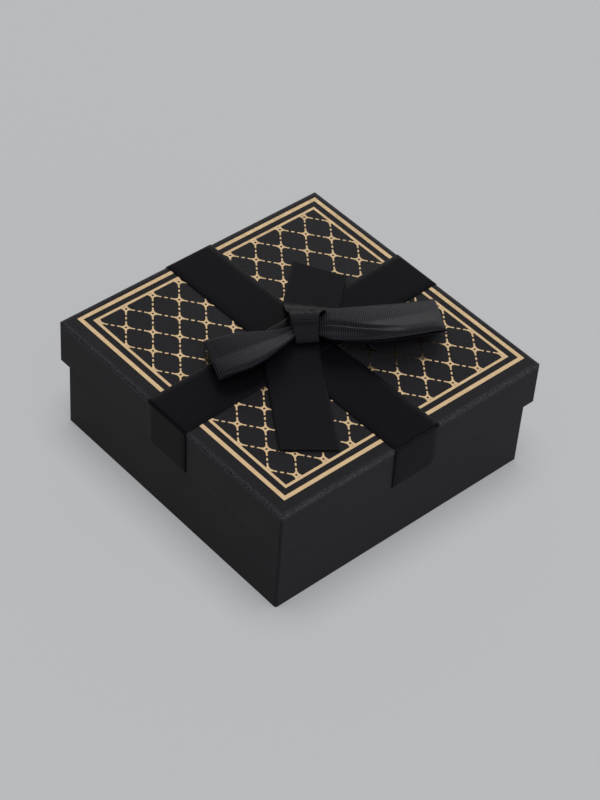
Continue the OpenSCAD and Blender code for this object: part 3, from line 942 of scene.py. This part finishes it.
def back_tail_path():
    """Middle line of the back tail as rows of x, y, z and u, the distance behind the knot's axis."""
    lift = RIBBON_THICKNESS / 2 + KNOT_CLEARANCE
    breadth = KNOT_BREADTH + lift
    depth = KNOT_DEPTH + lift
    crown = KNOT_HEIGHT + math.hypot(depth, KNOT_LEAN * breadth)
    ahead = math.radians(KNOT_HEADING + 90)
    path = []
    for angle in np.radians(np.linspace(*BACK_TAIL_WRAP, 24)):
        u, w = knot_section(angle, breadth, depth)
        path.append((u * math.cos(ahead), u * math.sin(ahead), KNOT_HEIGHT + w, u))
    for u in np.linspace(0, BACK_TAIL_LENGTH, 60):
        way = math.radians(mix(KNOT_HEADING + 90, BACK_TAIL_HEADING, float(ease(u / BACK_TAIL_TURN))))
        falling = mix(BACK_TAIL_LOW, crown, 1 - float(ease(u / BACK_TAIL_FALL)))
        drop = max(0.0, 1 - (u / breadth) ** 2)
        held = (KNOT_HEIGHT + depth * math.sqrt(drop) + KNOT_LEAN * u) * (drop > 0)
        z = (falling + held + math.hypot(falling - held, REST_SOFTNESS)) / 2
        path.append((u * math.cos(way), u * math.sin(way), z, u))
    return np.array(path)


def back_tail_surface():
    """The back tail: it comes up the front of the knot and over it in pleats, and spreads out behind."""
    path = back_tail_path()
    steps = np.linalg.norm(np.diff(path[:, :3], axis=0), axis=1)
    lengths = np.concatenate([[0], np.cumsum(steps)])
    heading = math.radians(BACK_TAIL_HEADING)

    def surface(t, s):
        s = s[None, :]
        run = t[:, None] * lengths[-1] + mix(*BACK_TAIL_TRIM, (s + 1) / 2) * t[:, None]
        x, y, z, u = (np.interp(run, lengths, path[:, k]) for k in range(4))
        beyond = np.clip(run - lengths[-1], 0, None)
        x = x + beyond * math.cos(heading)
        y = y + beyond * math.sin(heading)
        side = np.radians(mix(KNOT_HEADING + 180, BACK_TAIL_SIDE, ease(u / BACK_TAIL_TWIST)))
        gathered = KNOT_WIDTH * (1 - NOSE_NARROWING * ease(-u / KNOT_BREADTH)) + BACK_TAIL_OVERLAP
        half = mix(gathered, RIBBON_WIDTH, ease((u + 1 * MM) / BACK_TAIL_SPREAD)) / 2
        pleats = (1 - ramp(u, *PLEAT_FADE)) * ramp(u, *PLEAT_RISE)
        z = z + PLEAT_HEIGHT * pleats * np.cos(PLEAT_WAVES * s + PLEAT_PHASE)
        from_dent = np.hypot(u - DENT_AT[0], s * half - DENT_AT[1])
        z = z + DENT_HEIGHT * bump_at(from_dent, DENT_RADIUS, DENT_WIDTH)
        x = KNOT_AT.x + x + s * half * np.cos(side)
        y = KNOT_AT.y + y + s * half * np.sin(side)
        return stacked(x, y, LID_TOP + z)

    return surface


def knot_surface():
    """One turn of ribbon whose sides are folded under, wound round the middle of the bow."""
    heading = math.radians(KNOT_HEADING)
    axis = np.array([math.cos(heading), math.sin(heading), 0])
    side = np.array([-math.sin(heading), math.cos(heading), 0])
    up = np.array([0, 0, 1])
    middle = np.array([KNOT_AT.x, KNOT_AT.y, LID_TOP + KNOT_HEIGHT])
    face = KNOT_WIDTH / 2 - SIDE_FOLD - RIBBON_THICKNESS / 2
    fold = math.pi * SIDE_FOLD

    def surface(t, s):
        angle = (math.radians(-90) + 2 * math.pi * t * TURN_SHARE)[:, None]
        q = np.abs(s[None, :]) * RIBBON_WIDTH / 2
        sign = np.sign(s[None, :])
        round_it = np.clip((q - face) / SIDE_FOLD, 0, math.pi)
        back = np.clip(q - face - fold, 0, None)
        x = np.minimum(q, face) + SIDE_FOLD * np.sin(round_it) - back
        depth = SIDE_FOLD * (1 - np.cos(round_it))
        overlap = OVERLAP_STEP * ease((OVERLAP_REACH - x) / OVERLAP_RUN)
        depth = depth + np.where(sign > 0, overlap, 0) * (back > 0)
        x = x * sign * (1 - NOSE_NARROWING * ease(-np.cos(angle)))
        a = KNOT_BREADTH - RIBBON_THICKNESS / 2 - depth
        b = KNOT_DEPTH - RIBBON_THICKNESS / 2 - depth
        swell = 1 - KNOT_SWELL * np.cos(x / KNOT_WIDTH * math.pi) ** 2
        v, w = knot_section(angle, a * swell, b * swell)
        return x[..., None] * axis + v[..., None] * side + w[..., None] * up + middle

    return surface


def make_bow():
    left = ribbon("loop_left", loop_surface(
        reach=42.8 * MM, heading=-95.6, bend=-9.7, skew=-18, start=(0, 0.1 * MM),
        levels=(7.5 * MM, 4.4 * MM), rise=1.9 * MM, gather=0.35, full_at=0.75,
        roll=(10.5, 2), root=6 * MM, near=1, folds=left_loop_folds,
    ), LOOSE_RIBS, CLOTH_BRIGHT_PAINTED_SHEEN)
    finish_ribbon(left, "bow_loop_left")
    right = ribbon("loop_right", loop_surface(
        reach=61.7 * MM, heading=48.5, bend=13.8, skew=9.7, start=(-0.8 * MM, 3.5 * MM),
        levels=(8.1 * MM, 4.1 * MM), rise=2.5 * MM, gather=0.77, full_at=0.56,
        roll=(-2, -8.3), root=9.6 * MM, near=-1, folds=right_loop_folds,
    ), LOOSE_RIBS, CLOTH_BRIGHT_PAINTED_SHEEN)
    finish_ribbon(right, "bow_loop_right")
    front = ribbon("tail_front", front_tail_surface(), LAID_RIBS, CLOTH_SOME_PAINTED_SHEEN)
    finish_ribbon(front, "bow_tail_front")
    back = ribbon("tail_back", back_tail_surface(), LAID_RIBS, CLOTH_SOME_PAINTED_SHEEN)
    finish_ribbon(back, "bow_tail_back")
    knot = ribbon("knot", knot_surface(), LAID_RIBS, CLOTH_SOME_PAINTED_SHEEN, columns=61)
    finish_ribbon(knot, "bow_knot")


# ---- stage, light and camera ----
# Azimuths are in degrees from -Y through +X, as the viewer walks round the box.

BACKDROP = 0.49
SKY = 0.36
SKY_BLUE = 1.02
VIEW_AZIMUTH = 45.74
VIEW_ELEVATION = 44.0
VIEW_ROLL = math.radians(4.52)
VIEW_DISTANCE = 1.0586
VIEW_SIDESTEP = 3.52 * MM
VIEW_RISE = 17.78 * MM
VIEW_LENS = 104.34
FLOOR_HALF = 3.0
FLOOR_LEVEL = -0.1 * MM
CONTACT_REACH = 22 * MM
CONTACT_SHADE = 0.68
STEADY_SHARE = 0.9


def seen_by_camera(graph):
    """1 for rays that come from the camera or from shiny and clear things, else 0."""
    rays = graph.node("ShaderNodeLightPath").outputs
    shiny = graph.math("MAXIMUM", rays["Is Camera Ray"], rays["Is Glossy Ray"])
    return graph.math("MAXIMUM", shiny, rays["Is Transmission Ray"])


def mixed(graph, share, first, second):
    """Two surfaces or backgrounds mixed by the share of the second."""
    blend = graph.node("ShaderNodeMixShader")
    graph.feed(blend.inputs["Fac"], share)
    graph.feed(blend.inputs[1], first)
    graph.feed(blend.inputs[2], second)
    return blend.outputs["Shader"]


def make_world():
    world = bpy.data.worlds.new("studio")
    bpy.context.scene.world = world
    world.use_nodes = True
    graph = Graph(world.node_tree)
    sky = graph.tree.nodes["Background"]
    graph.feed(sky.inputs["Color"], (SKY, SKY, SKY * SKY_BLUE, 1))
    pale = graph.node("ShaderNodeBackground")
    graph.feed(pale.inputs["Color"], (BACKDROP, BACKDROP, BACKDROP, 1))
    backgrounds = (sky.outputs["Background"], pale.outputs["Background"])
    surface = graph.tree.nodes["World Output"].inputs["Surface"]
    graph.feed(surface, mixed(graph, seen_by_camera(graph), *backgrounds))


def make_floor():
    corners = ((-1, -1), (1, -1), (1, 1), (-1, 1))
    points = [(x * FLOOR_HALF, y * FLOOR_HALF, FLOOR_LEVEL) for x, y in corners]
    mesh = bpy.data.meshes.new("floor")
    mesh.from_pydata(points, [], [(0, 1, 2, 3)])
    floor = link_object("floor", mesh)
    shader = Shader("floor_paper", (0.47, 0.475, 0.485), 0.9, specular=0.0)
    # The floor's glow, as the camera sees it, is darkened near the box by ambient occlusion: a painted
    # contact shadow.
    contact = shader.node("ShaderNodeAmbientOcclusion", samples=16)
    shader.feed(contact.inputs["Distance"], CONTACT_REACH)
    glow_with_painted_shadow = shader.node("ShaderNodeEmission")
    shader.feed(glow_with_painted_shadow.inputs["Color"], (0.484, 0.493, 0.504, 1))
    shade = shader.remap(contact.outputs["AO"], 0.5, 1.0, CONTACT_SHADE, 1.0)
    shader.feed(glow_with_painted_shadow.inputs["Strength"], shade)
    share = shader.math("MULTIPLY", seen_by_camera(shader), STEADY_SHARE)
    surfaces = (shader.principled.outputs["BSDF"], glow_with_painted_shadow.outputs["Emission"])
    output = shader.tree.nodes["Material Output"]
    shader.feed(output.inputs["Surface"], mixed(shader, share, *surfaces))
    mesh.materials.append(shader.material)


def towards(azimuth, elevation):
    """Unit vector from the box to the given side, in degrees."""
    a = math.radians(azimuth)
    e = math.radians(elevation)
    return Vector((math.sin(a) * math.cos(e), -math.cos(a) * math.cos(e), math.sin(e)))


def softbox(name, azimuth, elevation, distance, size, glow, colour=(1, 1, 1)):
    """An evenly bright panel that faces the box from the given side, and gives off the glow."""
    lamp = bpy.data.lights.new(name, "AREA")
    lamp.shape = "RECTANGLE"
    lamp.size, lamp.size_y = size
    lamp.energy = glow * math.pi * size[0] * size[1]
    lamp.color = colour
    way = towards(azimuth, elevation)
    facing = way.to_track_quat("Z", "Y").to_matrix().to_4x4()
    link_object(name, lamp).matrix_world = Matrix.Translation(way * distance) @ facing


def make_lights():
    softbox("upper_panel", 225, 58, 1.9, (2.6, 1.2), glow=0.38)
    softbox("front_panel", 45, 72, 1.9, (2.0, 1.2), glow=2.4)
    softbox("low_panel", 225, 20, 1.9, (2.8, 0.9), glow=1.6)
    softbox("right_panel", 100, 18, 2.0, (2.4, 1.5), glow=2.7, colour=(0.83, 0.84, 1.0))


def make_camera():
    forward = -towards(VIEW_AZIMUTH, VIEW_ELEVATION)
    level = forward.cross(Vector((0, 0, 1))).normalized()
    upright = level.cross(forward)
    right = math.cos(VIEW_ROLL) * level + math.sin(VIEW_ROLL) * upright
    up = math.cos(VIEW_ROLL) * upright - math.sin(VIEW_ROLL) * level
    place = -forward * VIEW_DISTANCE + right * VIEW_SIDESTEP + up * VIEW_RISE
    axes = Matrix((right, up, -forward)).transposed().to_4x4()
    lens = bpy.data.cameras.new("view")
    lens.lens = VIEW_LENS
    camera = link_object("view", lens)
    camera.matrix_world = Matrix.Translation(place) @ axes
    bpy.context.scene.camera = camera


make_camera()
make_world()
make_floor()
make_lights()
make_lattice()
make_bands()
make_bow()

bpy.context.scene.view_settings.view_transform = "Standard"
